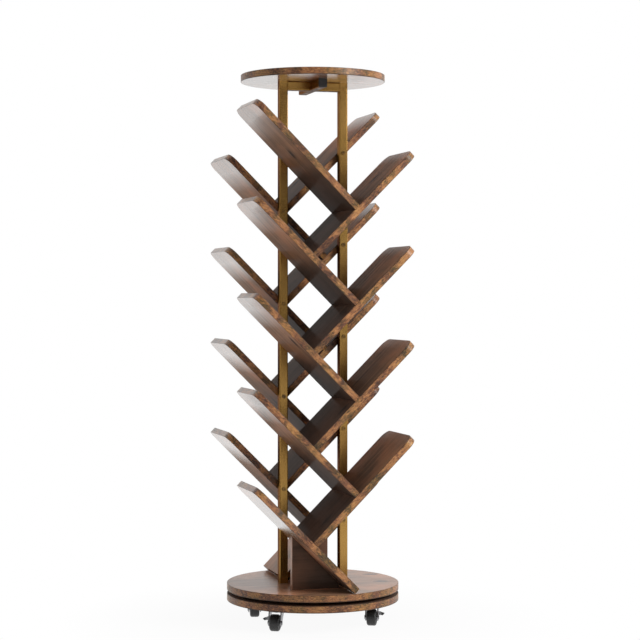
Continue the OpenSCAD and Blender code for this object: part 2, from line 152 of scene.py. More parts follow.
class BookcaseBoards(bpy.types.PropertyGroup):
    """Sizes and colours of the laminated boards and their dowels."""

    thickness: length("Shelf thickness", "Thickness of a shelf", 0.015)
    corner: length("Shelf corner", "Radius of the corners at a shelf's free end", 0.024)
    arris: length("Arris", "Radius along the long edges of a board", 0.0008)
    face_dark: colour("Face, dark", "Dark streaks of the laminate", (0.180, 0.100, 0.060))
    face_mid: colour("Face, middle", "Ground colour of the laminate", (0.510, 0.278, 0.165))
    face_warm: colour("Face, warm", "Warm clouds in the laminate", (0.680, 0.310, 0.165))
    # Painted shade: the laminate sinks to this deep brown where a board is dull, near the shelves'
    # joints, on the panels and on the base disc
    face_deep: colour("Face, deep", "Deep brown of the laminate where it is dull",
                      (0.036, 0.023, 0.017))
    knot: colour("Knot", "Knots in the laminate", (0.060, 0.038, 0.027))
    band_dark: colour("Band, dark", "Dark flecks of the edge band", (0.040, 0.022, 0.013))
    band_red: colour("Band, red", "Red-brown of the edge band", (0.185, 0.070, 0.036))
    band_orange: colour("Band, orange", "Orange-brown of the edge band", (0.430, 0.185, 0.066))
    band_pink: colour("Band, pale", "Palest flecks of the red patches", (0.560, 0.275, 0.120))
    band_olive: colour("Band, olive", "Olive-brown of the golden patches", (0.150, 0.090, 0.028))
    band_gold: colour("Band, gold", "Palest flecks of the golden patches", (0.560, 0.330, 0.095))
    band_tone: brightness("Band tone", "Brightness of the band on the shelves' edges", 1.1)
    rim_tone: brightness("Rim tone", "Brightness of the band on the discs' rims", 1.0)
    gloss: share("Gloss", "Weight of the clear top layer where a board is glossy", 0.95)
    gloss_dull: share("Gloss, dull", "Weight of that layer where a board is dull", 0.08)
    # Painted shade: a shelf is dull and painted deep brown near its joint, and its gloss and colour
    # rise to full at the lengths below
    dull_end: length("Dull end", "Length from a shelf's joint over which it is dull", 0.10)
    bright_left: length("Bright end, left",
                        "Length from its joint where a shelf on the left has its full gloss", 0.29)
    bright_front: length("Bright end, front right",
                         "That length for a front shelf on the right", 0.39)
    bright_rear: length("Bright end, rear right",
                        "That length for a rear shelf on the right", 0.35)
    # Painted shade: with so little gloss the panels' faces are painted deep brown, the shade under
    # the shelves
    panel_share: share("Gloss, panels", "Gloss at the tall end of a panel", 0.10)
    panel_edge: share("Gloss, panel edges", "Gloss on the edges of a panel", 0.80)
    # Painted shade: faces turned to the right, toward the key lamp, keep only this share of the
    # gloss, so they are painted darker than the faces turned left
    lit_share: share("Gloss, lit faces", "Share of the gloss on the faces turned to the right", 0.3)
    beech: colour("Dowels", "Turned beech of the dowels", (0.680, 0.490, 0.280))
    beech_dark: colour("Dowels, dark", "Darker streaks of the dowels", (0.460, 0.300, 0.150))


class BookcaseMetal(bpy.types.PropertyGroup):
    """Colours of the frame and the hardware."""

    gold: colour("Frame", "Antique gold coat of the frame", (0.500, 0.290, 0.082))
    gold_dark: colour("Frame, dark", "Darker clouds in the frame's coat", (0.380, 0.212, 0.058))
    gold_graze: colour("Frame, grazing", "Tint of the coat's shine at a grazing angle",
                       (0.100, 0.090, 0.075))
    bronze: colour("Bolts", "Bronzed bolts in the uprights", (0.150, 0.090, 0.036))
    zinc: colour("Zinc", "Zinc plated steel", (0.340, 0.340, 0.350))
    zinc_dull: colour("Zinc, dull", "Duller patches of the zinc", (0.220, 0.220, 0.225))
    steel: colour("Bearing", "Blackened steel of the bearing", (0.045, 0.042, 0.040))
    steel_dark: colour("Bearing, dark", "Darker patches of the bearing", (0.022, 0.021, 0.020))


class BookcaseCasters(bpy.types.PropertyGroup):
    """Sizes and colours of the caster wheels, pedals and end caps."""

    shoulder: length("Tread shoulder", "Radius of a wheel's tread shoulders", 0.005)
    recess: length("Side recess", "Depth of the ring in a wheel's side", 0.0012)
    steps: IntProperty(name="Wheel steps", description="Steps round a wheel", default=72, min=24)
    rubber: colour("Rubber", "Black tread", (0.016, 0.016, 0.017))
    rubber_dust: colour("Dust", "Dusty patches of the tread and the plastic", (0.034, 0.033, 0.032))
    plastic: colour("Plastic", "Black end caps and pedals", (0.012, 0.012, 0.013))


class BookcaseStage(bpy.types.PropertyGroup):
    """Camera, light and floor."""

    azimuth: FloatProperty(name="Azimuth", description="Camera's turn from the front",
                           default=math.radians(-15.9), subtype="ANGLE")
    distance: length("Distance", "Level distance from the turning axis to the camera", 4.153)
    height: length("Height", "Height of the level camera", 0.759)
    lens: FloatProperty(name="Lens", description="Focal length in millimetres",
                        default=100.0, min=1.0, unit="CAMERA")
    axis_x: pixel("Axis, across", "Pixel column of the turning axis", 312.7)
    horizon_y: pixel("Horizon, down", "Pixel row of the horizon", 294.9)
    key: power("Key", "Power of the lamp on the right", 118.0)
    key_place: location("Key, place", "Place of the lamp on the right", (2.5, -2.5, 2.4))
    fill: power("Fill", "Power of the lamp on the left", 5.0)
    fill_place: location("Fill, place", "Place of the lamp on the left", (-2.8, -2.2, 1.5))
    lamp_size: length("Lamp size", "Side of each square lamp", 1.8)
    aim: length("Lamp aim", "Height on the turning axis that the lamps point at", 0.6)
    sky: share("Sky", "Strength of the even light from all round", 0.31)
    room: share("Room", "Strength of the room behind the camera in reflections", 0.07)
    floor: length("Floor", "Side of the floor", 60.0)
    floor_tint: colour("Floor colour", "Colour of the floor under its white", (0.860, 0.860, 0.850))
    floor_white: share("Floor white", "Share of the floor that takes no shadow nearby", 0.94)
    near: length("Shadow, near", "Distance from the axis up to which shadows are full", 0.22)
    far: length("Shadow, far", "Distance from the axis at which shadows are gone", 0.6)


# Node helpers

def feed(tree, socket, value):
    """Links a socket to a socket, or sets its value."""
    if isinstance(value, bpy.types.NodeSocket):
        tree.links.new(value, socket)
    elif socket.type == "RGBA" and len(value) == 3:
        socket.default_value = (*value, 1.0)
    else:
        socket.default_value = value


def fill_in(tree, node, inputs):
    """Feeds a node's inputs, given by name or by number."""
    for key, value in inputs.items():
        feed(tree, node.inputs[key], value)


def put(tree, kind, inputs=None, **settings):
    """Adds a node with its settings and inputs."""
    node = tree.nodes.new(kind)
    for key, value in settings.items():
        setattr(node, key, value)
    fill_in(tree, node, inputs or {})
    return node


def maths(tree, kind, first, second=0.0):
    """The result of a Math node on one or two values."""
    return put(tree, "ShaderNodeMath", {0: first, 1: second}, operation=kind).outputs[0]


def mixed(tree, factor, first, second):
    """A colour that goes from the first to the second as the factor rises.

    A Mix node's colour sockets come after those of its other kinds of data.
    """
    node = put(tree, "ShaderNodeMix", {0: factor, 6: first, 7: second}, data_type="RGBA")
    return node.outputs[2]


def blended(tree, factor, first, second):
    """A shader that goes from the first to the second as the factor rises."""
    node = put(tree, "ShaderNodeMixShader", {0: factor, 1: first, 2: second})
    return node.outputs["Shader"]


def span(tree, value, start, end=(0.0, 1.0)):
    """A value mapped from the start span to the end span, and held at its ends."""
    node = put(tree, "ShaderNodeMapRange",
               {"Value": value, "From Min": start[0], "From Max": start[1],
                "To Min": end[0], "To Max": end[1]})
    return node.outputs["Result"]


def ramp(tree, factor, stops):
    """A colour ramp from (position, colour) stops."""
    node = put(tree, "ShaderNodeValToRGB", {"Fac": factor})
    points = node.color_ramp.elements
    while len(points) < len(stops):
        points.new(1.0)
    for point, (position, tint) in zip(points, stops):
        point.position = position
        point.color = (*tint, 1.0)
    return node.outputs["Color"]


def noise(tree, where, scale, detail, dimensions="2D", **inputs):
    """Noise at a scale, flat on the boards' texture map and solid elsewhere."""
    node = put(tree, "ShaderNodeTexNoise",
               {"Vector": where, "Scale": scale, "Detail": detail, **inputs},
               noise_dimensions=dimensions)
    return node.outputs["Fac"]


def bumped(tree, height, distance):
    """A normal from a height between 0 and 1, times a distance in metres."""
    node = put(tree, "ShaderNodeBump", {"Height": height, "Distance": distance, "Strength": 1.0})
    return node.outputs["Normal"]


def grouped(tree, maker, inputs):
    """A node of the group that a maker builds on first use, with its inputs fed."""
    name = maker.__name__
    if name not in bpy.data.node_groups:
        maker(name)
    return put(tree, "ShaderNodeGroup", inputs, node_tree=bpy.data.node_groups[name])


def group_tree(name, inputs, outputs):
    """An empty shader group with named sockets, and its two end nodes."""
    tree = bpy.data.node_groups.new(name, "ShaderNodeTree")
    for label in inputs:
        kind = "NodeSocketVector" if label == "Vector" else "NodeSocketFloat"
        tree.interface.new_socket(label, in_out="INPUT", socket_type=kind)
    for label in outputs:
        tree.interface.new_socket(label, in_out="OUTPUT", socket_type="NodeSocketFloat")
    return tree, tree.nodes.new("NodeGroupInput"), tree.nodes.new("NodeGroupOutput")


def wood_streaks(name):
    """Streaks: noise on coordinates divided by a streak's length and width."""
    tree, start, end = group_tree(name, ("Vector", "Length", "Width", "Waver"), ("Streak",))
    parts = put(tree, "ShaderNodeSeparateXYZ", {"Vector": start.outputs["Vector"]})
    along = maths(tree, "DIVIDE", parts.outputs["X"], start.outputs["Length"])
    across = maths(tree, "DIVIDE", parts.outputs["Y"], start.outputs["Width"])
    place = put(tree, "ShaderNodeCombineXYZ", {"X": along, "Y": across}).outputs["Vector"]
    streak = noise(tree, place, scale=1.0, detail=5.0, Roughness=0.62,
                   Distortion=start.outputs["Waver"])
    feed(tree, end.inputs["Streak"], span(tree, streak, (0.28, 0.72)))


def wood_knots(name):
    """Knots: distance to scattered points, stretched along the grain, turned into rings."""
    tree, start, end = group_tree(name, ("Vector", "Spacing", "Stretch", "Radius"),
                                  ("Knot", "Swirl"))
    spacing = start.outputs["Spacing"]
    parts = put(tree, "ShaderNodeSeparateXYZ", {"Vector": start.outputs["Vector"]})
    along = maths(tree, "DIVIDE", parts.outputs["X"], start.outputs["Stretch"])
    place = put(tree, "ShaderNodeCombineXYZ",
                {"X": along, "Y": parts.outputs["Y"]}).outputs["Vector"]
    cells = put(tree, "ShaderNodeTexVoronoi",
                {"Vector": place, "Scale": maths(tree, "DIVIDE", 1.0, spacing), "Randomness": 1.0},
                voronoi_dimensions="2D", feature="F1")
    # Distance from the knot's heart, counted in its radius, with a wandering outline
    far = maths(tree, "MULTIPLY", cells.outputs["Distance"], spacing)
    far = maths(tree, "DIVIDE", far, start.outputs["Radius"])
    wander = span(tree, noise(tree, place, scale=30.0, detail=3.0), (0.3, 0.7), (-0.3, 0.3))
    far = maths(tree, "ADD", far, wander)
    turn_per_radius = 15.0
    rings = maths(tree, "SINE", maths(tree, "MULTIPLY", far, turn_per_radius))
    around = span(tree, far, (0.8, 2.2), (1.0, 0.0))
    feed(tree, end.inputs["Knot"], span(tree, far, (0.35, 1.0), (1.0, 0.0)))
    feed(tree, end.inputs["Swirl"],
         maths(tree, "MULTIPLY", around, span(tree, rings, (-1.0, 1.0))))


def soft_mottle(name):
    """Mottling: soft clouds and a fine speckle on object coordinates."""
    tree, start, end = group_tree(name, ("Cloud", "Speck"), ("Clouds", "Specks"))
    where = put(tree, "ShaderNodeTexCoord").outputs["Object"]
    for scale, result, detail in (("Cloud", "Clouds", 3.0), ("Speck", "Specks", 2.0)):
        spots = noise(tree, where, start.outputs[scale], detail, dimensions="3D")
        feed(tree, end.inputs[result], span(tree, spots, (0.3, 0.7)))


# Materials

def blank_material(name):
    """A material with one Principled shader, its tree and that shader."""
    material = bpy.data.materials.new(name)
    material.use_nodes = True
    tree = material.node_tree
    return material, tree, tree.nodes["Principled BSDF"]


def board_coordinates(tree):
    """The texture point and the gloss of a board."""
    place = put(tree, "ShaderNodeUVMap", uv_map=GRAIN_MAP).outputs["UV"]
    shine = put(tree, "ShaderNodeAttribute", attribute_name=GLOSS_AND_SHADE).outputs["Fac"]
    return place, shine


def streaked(tree, place, long, wide, waver):
    """Streaks of a length and a width in metres, bent by the waver."""
    return grouped(tree, wood_streaks, {"Vector": place, "Length": long, "Width": wide,
                                        "Waver": waver}).outputs["Streak"]


def laminate_face(name, boards):
    """Dark brown printed laminate: long streaks, warm clouds and knots under a clear layer.

    The board's own gloss sets the layer and the roughness, and paints shade into the colour: deep
    brown where it is dull.
    """
    material, tree, shader = blank_material(name)
    place, shine = board_coordinates(tree)
    broad = streaked(tree, place, long=0.24, wide=0.012, waver=0.5)
    fine = streaked(tree, place, long=0.045, wide=0.0013, waver=0.2)
    warm = span(tree, noise(tree, place, scale=8.0, detail=3.0), (0.42, 0.68), (0.0, 0.75))
    knots = grouped(tree, wood_knots, {"Vector": place, "Spacing": 0.16, "Stretch": 1.9,
                                       "Radius": 0.012})
    swirl = span(tree, knots.outputs["Swirl"], (0.0, 1.0), (0.0, 0.45))
    # Painted shade: where the board's gloss is low, near its joints and on the panels and the base
    # disc, the ground sinks to the deep brown
    dull = span(tree, shine, (0.05, 0.55), (0.84, 0.0))
    ground = mixed(tree, broad, boards.face_dark, boards.face_mid)
    ground = mixed(tree, warm, ground, boards.face_warm)
    ground = mixed(tree, span(tree, fine, (0.0, 0.5), (0.45, 0.0)), ground, boards.face_dark)
    ground = mixed(tree, swirl, ground, boards.face_dark)
    ground = mixed(tree, knots.outputs["Knot"], ground, boards.knot)
    ground = mixed(tree, dull, ground, boards.face_deep)
    rough = span(tree, shine, (0.55, 1.0), (0.9, 0.28))
    layer = span(tree, shine, (0.68, 1.0), (boards.gloss_dull, boards.gloss))
    fill_in(tree, shader, {
        "Base Color": ground,
        "Roughness": maths(tree, "ADD", rough, span(tree, fine, (0.0, 1.0), (0.05, -0.05))),
        "Specular IOR Level": 0.3,
        "Coat Weight": maths(tree, "MULTIPLY", layer, span(tree, broad, (0.0, 0.6), (0.8, 1.0))),
        "Coat Roughness": 0.18,
        "Coat IOR": 1.6,
    })
    return material


def edge_band(name, boards, fleck, slope, patches, tone, ends):
    """Edge band: flecks in red and golden patches, with painted shade along its top and bottom
    edges.

    fleck is the length and the width of a fleck, slope its rise along the edge, patches the
    share of the broad patches, tone the brightness of every colour, and ends the weight of the
    clear layer at a glossy end.
    """
    material, tree, shader = blank_material(name)
    place, shine = board_coordinates(tree)
    parts = put(tree, "ShaderNodeSeparateXYZ", {"Vector": place})
    along, height = parts.outputs["X"], parts.outputs["Y"]
    lean = maths(tree, "ADD", height, maths(tree, "MULTIPLY", along, slope))
    leaning = put(tree, "ShaderNodeCombineXYZ", {"X": along, "Y": lean}).outputs["Vector"]
    flecks = streaked(tree, leaning, *fleck, waver=0.9)
    fibres = streaked(tree, leaning, long=0.018, wide=0.0013, waver=0.3)
    patch = noise(tree, place, scale=24.0, detail=2.0, Distortion=0.6)
    level = maths(tree, "ADD", maths(tree, "MULTIPLY", flecks, 1.0 - patches),
                  maths(tree, "MULTIPLY", span(tree, patch, (0.32, 0.68)), patches))

    def tinted(*tints):
        """Ramp over the level of the flecks and patches, from dark to pale."""
        return ramp(tree, level, [(at, [tone * part for part in tint])
                                  for at, tint in zip(EDGE_STOPS, tints)])
    red = tinted(boards.band_dark, boards.band_red, boards.band_orange, boards.band_pink)
    golden = tinted(boards.band_dark, boards.band_olive, boards.band_orange, boards.band_gold)
    hue = span(tree, noise(tree, place, scale=15.0, detail=2.0), (0.42, 0.58))
    # Painted shade: the band darkens towards its top and bottom edges, beside the arrises
    off_middle = maths(tree, "ABSOLUTE", maths(tree, "ADD", height, boards.thickness / 2))
    border_shade = span(tree, off_middle, (boards.thickness * 0.38, boards.thickness * 0.5), (0.0, 0.7))
    tint = mixed(tree, hue, red, golden)
    tint = mixed(tree, span(tree, fibres, (0.1, 0.5), (0.7, 0.0)), tint, boards.band_dark)
    tint = mixed(tree, border_shade, tint, boards.band_dark)
    fill_in(tree, shader, {
        "Base Color": tint,
        "Roughness": span(tree, flecks, (0.0, 1.0), (0.55, 0.42)),
        "Specular IOR Level": 0.25,
        "Coat Weight": span(tree, shine, (1.06, 1.14), (0.3, ends)),
        "Coat Roughness": 0.3,
        "Normal": bumped(tree, fibres, 0.00008),
    })
    return material


def mottled(name, light, dark, cloud, speck, roughness, depth):
    """Soft clouds of two colours, and fine specks in the roughness and the surface.

    cloud and speck are scales of noise, roughness is a span, and depth is in metres.
    """
    material, tree, shader = blank_material(name)
    mottle = grouped(tree, soft_mottle, {"Cloud": cloud, "Speck": speck})
    specks = mottle.outputs["Specks"]
    fill_in(tree, shader, {
        "Base Color": mixed(tree, mottle.outputs["Clouds"], dark, light),
        "Roughness": span(tree, specks, (0.0, 1.0), roughness),
        "Normal": bumped(tree, specks, depth),
    })
    return material, tree, shader


def coated_metal(name, light, dark, metallic, roughness, cloud=14.0, speck=900.0, graze=WHITE):
    """Mottled metal with a fine orange-peel surface and a grazing tint."""
    material, tree, shader = mottled(name, light, dark, cloud, speck, depth=0.00004,
                                     roughness=(roughness - 0.06, roughness + 0.08))
    fill_in(tree, shader, {"Metallic": metallic, "Specular Tint": graze})
    return material


def black_stuff(name, light, dark, roughness, speck):
    """Black rubber or plastic with dusty clouds and a fine moulded texture."""
    return mottled(name, light, dark, cloud=60.0, speck=speck, depth=0.00003,
                   roughness=(roughness - 0.08, roughness + 0.1))[0]


def dowel_wood(name, boards):
    """Pale turned beech with fine streaks."""
    material, tree, shader = blank_material(name)
    where = put(tree, "ShaderNodeTexCoord").outputs["Object"]
    streak = noise(tree, where, scale=220.0, detail=4.0, dimensions="3D")
    fill_in(tree, shader, {"Base Color": mixed(tree, streak, boards.beech_dark, boards.beech),
                           "Roughness": 0.6})
    return material


def finish(name, maker, *values, **settings):
    """The material of that name, which its maker makes on first use.

    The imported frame's own materials have other names.
    """
    if name in bpy.data.materials:
        return bpy.data.materials[name]
    return maker(name, *values, **settings)


def board_finish(context, edge=None):
    """The two materials of a board: its faces, and its edge, which may be laminate as well."""
    boards = context.scene.bookcase_boards
    face = finish("laminate_face", laminate_face, boards)
    if edge is None:
        return [face, face]
    tones = {"edge_band": boards.band_tone, "edge_rim": boards.rim_tone}
    return [face, finish(edge, edge_band, boards, tone=tones[edge], **EDGES[edge])]


def zinc_finish(context):
    """Zinc plated steel of the casters and screws."""
    metal = context.scene.bookcase_metal
    return finish("zinc_plate", coated_metal, metal.zinc, metal.zinc_dull,
                  metallic=1.0, roughness=0.30, cloud=40.0, speck=700.0)


def plastic_finish(context):
    """Black moulded plastic of the end caps and pedals."""
    casters = context.scene.bookcase_casters
    return finish("moulded_plastic", black_stuff, casters.rubber_dust, casters.plastic,
                  roughness=0.45, speck=1600.0)


def dress(names, material):
    """Gives solid nodes a material and leaves their shape alone."""
    for name in names:
        for slot in NODES[name].material_slots:
            slot.material = material


# Surfaces

def surface(name, points, faces, corners, slots, smooth, materials, gloss=None):
    """A mesh object at the origin from whole arrays.

    corners holds a texture point for each corner of each face in order, slots and smooth hold
    one value for each face, and gloss one for each point, which also sets its painted shade.
    """
    mesh = bpy.data.meshes.new(name)
    mesh.from_pydata(points.tolist(), [], faces)
    mesh.uv_layers.new(name=GRAIN_MAP).data.foreach_set(
        "uv", np.asarray(corners, np.float32).ravel())
    for material in materials:
        mesh.materials.append(material)
    mesh.polygons.foreach_set("material_index", np.asarray(slots, np.int32))
    mesh.polygons.foreach_set("use_smooth", np.asarray(smooth, bool))
    if gloss is not None:
        mesh.attributes.new(GLOSS_AND_SHADE, "FLOAT", "POINT").data.foreach_set(
            "value", np.asarray(gloss, np.float32).ravel())
    mesh.update()
    piece = bpy.data.objects.new(name, mesh)
    bpy.context.scene.collection.objects.link(piece)
    return piece


def grid_quads(rows, columns, close_rows=False, close_columns=False):
    """Quads of a grid of points, row by row; rows and columns may close on themselves."""
    row = np.arange(rows if close_rows else rows - 1)[:, None]
    column = np.arange(columns if close_columns else columns - 1)[None, :]
    here, below = row * columns, (row + 1) % rows * columns
    beside = (column + 1) % columns
    return np.stack([here + column, here + beside, below + beside, below + column],
                    axis=-1).reshape(-1, 4)


def shelf_outline(long, wide, corner, arc_steps=14, edge_steps=6):
    """Outline of a shelf, square at u = 0, with two quarter circles at its free end.

    Drawn in by inset, the straight sides move in and the quarter circles shrink about their
    own centres.
    """
    quarter = np.linspace(0.0, math.pi / 2, arc_steps + 1)
    ease = np.linspace(0.0, 1.0, edge_steps, endpoint=False)[:, None]

    def outline(inset):
        radius = corner - inset
        low = np.stack([long - corner + radius * np.sin(quarter),
                        corner - radius * np.cos(quarter)], axis=-1)
        high = np.stack([long - corner + radius * np.cos(quarter),
                         wide - corner + radius * np.sin(quarter)], axis=-1)
        near, far = np.array([inset, inset]), np.array([inset, wide - inset])
        return np.concatenate([near + ease * (low[0] - near), low[:-1],
                               low[-1] + ease * (high[0] - low[-1]), high[:-1],
                               high[-1] + ease * (far - high[-1]),
                               far + ease * (near - far)])
    return outline


def disc_outline(radius, count=224):
    """Outline of a disc: a circle that shrinks by the inset."""
    turn = np.linspace(0.0, 2 * math.pi, count, endpoint=False)

    def outline(inset):
        return (radius - inset) * np.stack([np.cos(turn), np.sin(turn)], axis=-1)
    return outline


def panel_outline(corner, steps=8):
    """Outline with straight sides, given by its corners in anti-clockwise order.

    A corner moves in by the sum of the inward normals of its two sides, divided by one plus
    their scalar product, so that both sides move in by the inset.
    """
    ease = np.linspace(0.0, 1.0, steps, endpoint=False)[:, None]
    run = np.roll(corner, -1, axis=0) - corner
    run = run / np.linalg.norm(run, axis=1, keepdims=True)
    inward = np.stack([-run[:, 1], run[:, 0]], axis=-1)
    before = np.roll(inward, 1, axis=0)
    draw = (inward + before) / (1 + np.sum(inward * before, axis=1, keepdims=True))

    def outline(inset):
        moved = corner + inset * draw
        after = np.roll(moved, -1, axis=0)
        return (moved[:, None] + ease * (after - moved)[:, None]).reshape(-1, 2)
    return outline


def level_place(top):
    """Lays a board level: u and v are x and y, and w counts from its top."""
    def place(u, v, w):
        return np.stack([u, v, top + w], axis=-1)
    return place


def upright_place(start, side, floor):
    """Stands a board on edge: u runs along x and -w along y, both times side, and v climbs."""
    def place(u, v, w):
        return np.stack([start[0] + side * u, start[1] - side * w, floor + v], axis=-1)
    return place


def shelf_place(node, thickness):
    """Length, depth, mapping and hand of a shelf, from its node's box.

    A shelf leans at 45 degrees, so the sides of its box are its length plus its thickness over
    the root of two. It rises from its square end at the lower corner.
    """
    low, high = np.array(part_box(node))
    number = int(node.rsplit("_", 1)[1])
    falls = node.startswith("front") == (number % 2 == 1)
    lean = -1.0 if falls else 1.0
    start_x = high[0] if falls else low[0]
    start_z = low[2] + thickness / ROOT2
    long = (high[0] - low[0]) * ROOT2 - thickness

    def place(u, v, w):
        return np.stack([start_x + lean * (u - w) / ROOT2, low[1] + v,
                         start_z + (u + w) / ROOT2], axis=-1)
    return long, high[1] - low[1], place, lean


def rising_gloss(dull, bright, lit, lit_share):
    """Gloss along a shelf, which also sets its painted shade: a straight rise from 0 at u = dull to
    1 at u = bright.

    On the face at w = lit, which turns to the right, only a share of it is left, so that face is
    painted darker.
    """
    def gloss(u, w):
        rise = (u - dull) / (bright - dull)
        return np.where(np.isclose(w, lit), lit_share * rise, rise)
    return gloss


def falling_gloss(wide, deep, tall_end, edge):
    """Gloss of a panel, which also paints its faces in deep shade: a straight fall to 0 over the
    width of its faces, even on its edges.
    """
    def gloss(u, w):
        faces = np.isclose(w, 0.0) | np.isclose(w, -deep)
        return np.where(faces, tall_end * (1 - u / wide), edge)
    return gloss


def even_gloss(level):
    """Gloss that is the same all over a board; where it is low the board is painted in deep shade.
    """
    def gloss(u, w):
        return np.full_like(u, level)
    return gloss


def slab(name, outline, thickness, arris, place, hand, shift, materials, gloss, arris_steps=4):
    """A board: an outline carried through a section with rounded arrises.

    The section leaves the lower face, turns round a quarter circle of radius arris, climbs the
    edge and turns back onto the upper face at w = 0. place maps (u, v, w) to the part's frame,
    and hand is -1 where it mirrors. Faces take (u, v) as their texture point, the edge takes the
    length along the outline and the height. gloss gives the gloss at (u, w), which also sets the
    painted shade.
    """
    turn = np.linspace(0.0, math.pi / 2, arris_steps + 1)
    draw = arris * (1 - np.sin(turn))
    climb = arris * (1 - np.cos(turn))
    # A second row beside each arris keeps the edge's shading flat
    hold = 2 * arris
    inset = np.concatenate([draw, [0.0, 0.0], draw[::-1]])
    height = np.concatenate([climb - thickness, [hold - thickness, -hold], -climb[::-1]])
    loops = np.stack([outline(i) for i in inset])
    rows, count = loops.shape[:2]
    w = np.repeat(height[:, None], count, axis=1)
    points = place(loops[..., 0], loops[..., 1], w).reshape(-1, 3)

    quads = grid_quads(rows, count, close_columns=True)
    lower = np.arange(count)[::-1]
    upper = np.arange(count) + (rows - 1) * count
    rim = outline(0.0)
    steps = np.linalg.norm(np.roll(rim, -1, axis=0) - rim, axis=1)
    along = np.concatenate([[0.0], np.cumsum(steps)])
    left = np.tile(along[:-1], rows - 1)
    right = np.tile(along[1:], rows - 1)
    foot = np.repeat(height[:-1], count)
    head = np.repeat(height[1:], count)
    quad_uv = np.stack([np.stack([left, foot], -1), np.stack([right, foot], -1),
                        np.stack([right, head], -1), np.stack([left, head], -1)], axis=1)
    lower_uv, upper_uv = loops[0][::-1], loops[-1]
    if hand < 0:
        quads, quad_uv = quads[:, ::-1], quad_uv[:, ::-1]
        lower, lower_uv = lower[::-1], lower_uv[::-1]
        upper, upper_uv = upper[::-1], upper_uv[::-1]
    faces = quads.tolist() + [lower.tolist(), upper.tolist()]
    # The lower face is cut a metre further on from the printed sheet
    corners = np.concatenate([quad_uv.reshape(-1, 2) + (shift[0], 0.0), lower_uv + shift + 1.0,
                              upper_uv + shift])
    slots = np.concatenate([np.ones(len(quads), int), [0, 0]])
    smooth = np.concatenate([np.ones(len(quads), bool), [False, False]])
    return surface(name, points, faces, corners, slots, smooth, materials,
                   gloss(loops[..., 0], w))


def lathe(name, section, centre, axle, count, material):
    """A closed section of (offset, radius) points carried round an axle.

    A point is the centre, plus its offset along the axle, plus its radius along the direction
    that turns from straight up round the axle.
    """
    axle = np.asarray(axle, float) / np.linalg.norm(axle)
    up = np.array([0.0, 0.0, 1.0])
    side = np.cross(axle, up)
    turn = np.linspace(0.0, 2 * math.pi, count, endpoint=False)
    spoke = np.cos(turn)[:, None] * up + np.sin(turn)[:, None] * side
    local = (section[None, :, :1] * axle + section[None, :, 1:] * spoke[:, None, :]).reshape(-1, 3)
    quads = grid_quads(count, len(section), close_rows=True, close_columns=True)
    # A volume below zero means that the faces point inwards
    a, b, c = local[quads[:, 0]], local[quads[:, 1]], local[quads[:, 2]]
    if np.einsum("ij,ij->", a, np.cross(b, c)) < 0:
        quads = quads[:, ::-1]
    piece = surface(name, np.asarray(centre) + local, quads.tolist(), np.zeros((quads.size, 2)),
                    np.zeros(len(quads), int), np.ones(len(quads), bool), [material])
    piece.data.set_sharp_from_angle(angle=SHARP_ANGLE)
    return piece


def wheel_section(casters, node, axis):
    """Half of a wheel's section, from the tread down its side to the bore, and its mirror.

    The shoulder is a quarter circle, and the side has a shallow ring between the rim and the
    hub. Half the width comes from the wheel's box: across the axle's turn, the box reaches the
    shoulder's circle round the edge of the flat side.
    """
    low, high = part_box(node)
    axle_x, axle_y = np.abs(axis)[:2]
    rim = (high[2] - low[2]) / 2
    reach = (high[0] - low[0]) / 2 - casters.shoulder
    half = (reach - (rim - casters.shoulder) * axle_y) / axle_x + casters.shoulder
    bend = np.linspace(0.0, math.pi / 2, SHOULDER_POINTS)
    shoulder = np.stack([half + casters.shoulder * (np.sin(bend) - 1),
                         rim + casters.shoulder * (np.cos(bend) - 1)], axis=-1)
    radius, depth = WHEEL_SIDE.T
    side = np.stack([half - casters.recess * depth, rim * radius], axis=-1)
    right = np.concatenate([shoulder, side])
    return np.concatenate([right, right[::-1] * (-1.0, 1.0)])


# Pieces

def carry(piece, body, node):
    """Lets a piece stand for a solid node and move with its body."""
    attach(piece, body)
    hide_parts(node)


class BOOKCASE_OT_shelves(bpy.types.Operator):
    """Make the sloping shelves of both stacks"""

    bl_idname = "bookcase.shelves"
    bl_label = "Shelves"

    def execute(self, context):
        boards = context.scene.bookcase_boards
        materials = board_finish(context, "edge_band")
        right = {"front": boards.bright_front, "rear": boards.bright_rear}
        for turn, stack in enumerate(STACKS):
            for number in SHELF_NUMBERS:
                node = f"{stack}_shelf_{number}"
                long, wide, place, hand = shelf_place(node, boards.thickness)
                # Painted shade: each shelf is painted deep brown near its joint and full colour at
                # its free end; its faces turned right are painted darker
                bright, lit = ((boards.bright_left, 0.0) if hand < 0
                               else (right[stack], -boards.thickness))
                ends = LOWEST_GLOSS_AND_SHADE[stack] if number == LOWEST else (boards.dull_end, bright)
                piece = slab(f"{stack}_board_{number}",
                             shelf_outline(long, wide, boards.corner), boards.thickness,
                             boards.arris, place, hand,
                             SHELF_SHIFT * (number + len(SHELF_NUMBERS) * turn), materials,
                             rising_gloss(*ends, lit, boards.lit_share))
                carry(piece, "tower", node)
        dress(["shelf_dowels"], finish("beech_dowels", dowel_wood, boards))
        return {"FINISHED"}


